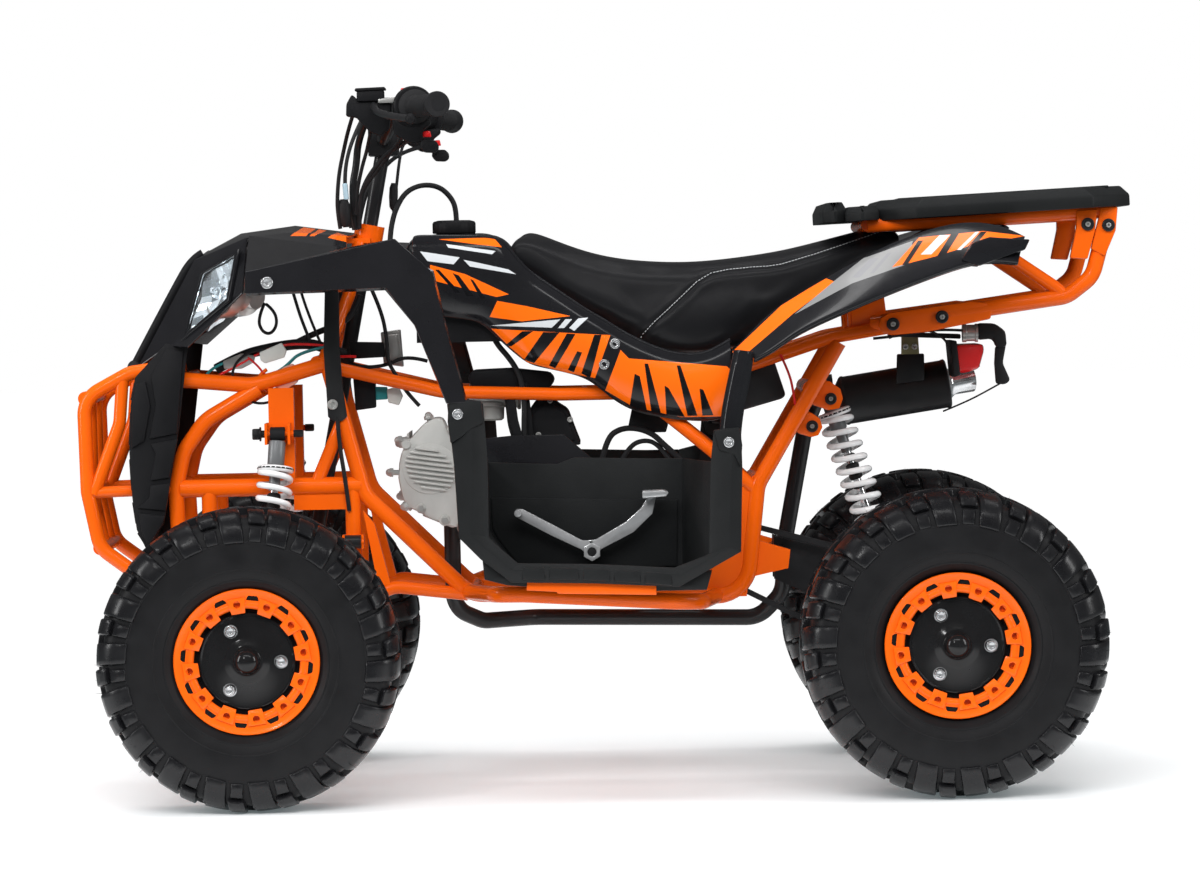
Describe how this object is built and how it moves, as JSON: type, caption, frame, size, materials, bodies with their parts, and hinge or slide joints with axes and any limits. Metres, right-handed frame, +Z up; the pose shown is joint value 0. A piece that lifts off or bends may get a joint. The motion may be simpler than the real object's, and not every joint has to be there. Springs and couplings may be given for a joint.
{
  "type": "quad bike",
  "caption": "Four-wheeled off-road quad bike with tubular frame, front guard, footwells, saddle seat and rear rack.",
  "frame": {"origin": "on the ground under the centre of the vehicle's box", "axes": "+X forward, +Y to the rider's left, +Z up"},
  "size_m": [1.7026, 0.96, 1.128],
  "materials": {
    "orange_frame": "gloss orange powder coat",
    "black_gloss_plastic": "gloss black",
    "black_matt_plastic": "grained matt black",
    "seat_cover": "matt black vinyl",
    "fuel_tank": "moulded black",
    "cast_aluminium": "as cast",
    "black_steel": "satin black",
    "damper_steel": "grey steel",
    "white_spring": "white powder coat",
    "bare_steel": "zinc plated",
    "chrome": "polished chrome",
    "clear_lamp": "clear lens",
    "red_lamp": "red lens",
    "tyre": "black rubber",
    "rim": "orange ring, black disc",
    "rubber": "soft black rubber"
  },
  "bodies": {
    "chassis": {"main_frame": "orange_frame", "front_frame": "orange_frame", "front_guard": "orange_frame", "rack_frame": "orange_frame", "rack_deck": "black_matt_plastic", "foot_bars": "orange_frame", "engine": "cast_aluminium", "carburettor": "cast_aluminium", "air_box": "black_matt_plastic", "exhaust_pipe": "black_steel", "muffler": "black_steel", "swing_arm": "black_steel", "chain": "bare_steel", "suspension_arms_left": "black_steel", "suspension_arms_right": "black_steel", "shock_bodies": "damper_steel", "shock_springs": "white_spring", "shift_pedal": "chrome", "footwell_left": "black_matt_plastic", "footwell_right": "black_matt_plastic", "front_fender_left": "black_gloss_plastic", "front_fender_right": "black_gloss_plastic", "nose_cover": "black_gloss_plastic", "headlights": "clear_lamp", "front_panel": "black_matt_plastic", "tank_cover": "black_gloss_plastic", "fuel_tank": "fuel_tank", "fuel_cap": "black_matt_plastic", "seat": "seat_cover", "rear_fender": "black_gloss_plastic", "battery_box": "black_matt_plastic", "tail_light": "red_lamp"},
    "steering": {"steering_column": "black_steel", "handlebar": "black_steel", "grips": "rubber", "hand_controls": "black_matt_plastic", "control_cables": "rubber"},
    "knuckle_left": {"knuckle_left": "bare_steel"},
    "knuckle_right": {"knuckle_right": "bare_steel"},
    "tie_rod_left": {"tie_rod_left": "bare_steel"},
    "tie_rod_right": {"tie_rod_right": "bare_steel"},
    "wheel_front_left": {"tyre_front_left": "tyre", "rim_front_left": "rim"},
    "wheel_front_right": {"tyre_front_right": "tyre", "rim_front_right": "rim"},
    "rear_axle": {"rear_axle": "bare_steel", "sprocket": "bare_steel", "brake_disc": "bare_steel", "tyre_rear_left": "tyre", "tyre_rear_right": "tyre", "rim_rear_left": "rim", "rim_rear_right": "rim"}
  },
  "joints": [
    {"name": "steering", "type": "hinge", "parent": "chassis", "child": "steering", "pos_m": [0.4864, 0, 0.352], "axis": [-0.1908, 0, 0.9816], "range_deg": [-34, 34]},
    {"name": "kingpin_left", "type": "hinge", "parent": "chassis", "child": "knuckle_left", "pos_m": [0.5614, 0.307, 0.237], "axis": [0, 0, 1], "range_deg": [-34, 34]},
    {"name": "tie_rod_end_left", "type": "hinge", "parent": "knuckle_left", "child": "tie_rod_left", "pos_m": [0.4994, 0.3, 0.279], "axis": [0, 0, 1], "range_deg": [-34, 34]},
    {"name": "front_wheel_left", "type": "hinge", "parent": "knuckle_left", "child": "wheel_front_left", "pos_m": [0.5614, 0.391, 0.237], "axis": [0, 1, 0], "continuous": true},
    {"name": "kingpin_right", "type": "hinge", "parent": "chassis", "child": "knuckle_right", "pos_m": [0.5614, -0.307, 0.237], "axis": [0, 0, 1], "range_deg": [-34, 34]},
    {"name": "tie_rod_end_right", "type": "hinge", "parent": "knuckle_right", "child": "tie_rod_right", "pos_m": [0.4994, -0.3, 0.279], "axis": [0, 0, 1], "range_deg": [-34, 34]},
    {"name": "front_wheel_right", "type": "hinge", "parent": "knuckle_right", "child": "wheel_front_right", "pos_m": [0.5614, -0.391, 0.237], "axis": [0, 1, 0], "continuous": true},
    {"name": "rear_axle", "type": "hinge", "parent": "chassis", "child": "rear_axle", "pos_m": [-0.5386, 0, 0.24], "axis": [0, 1, 0], "continuous": true}
  ],
  "couplings": [
    {"joint": "kingpin_left", "follows": "steering", "ratio": 1},
    {"joint": "tie_rod_end_left", "follows": "steering", "ratio": -1},
    {"joint": "kingpin_right", "follows": "steering", "ratio": 1},
    {"joint": "tie_rod_end_right", "follows": "steering", "ratio": -1}
  ]
}
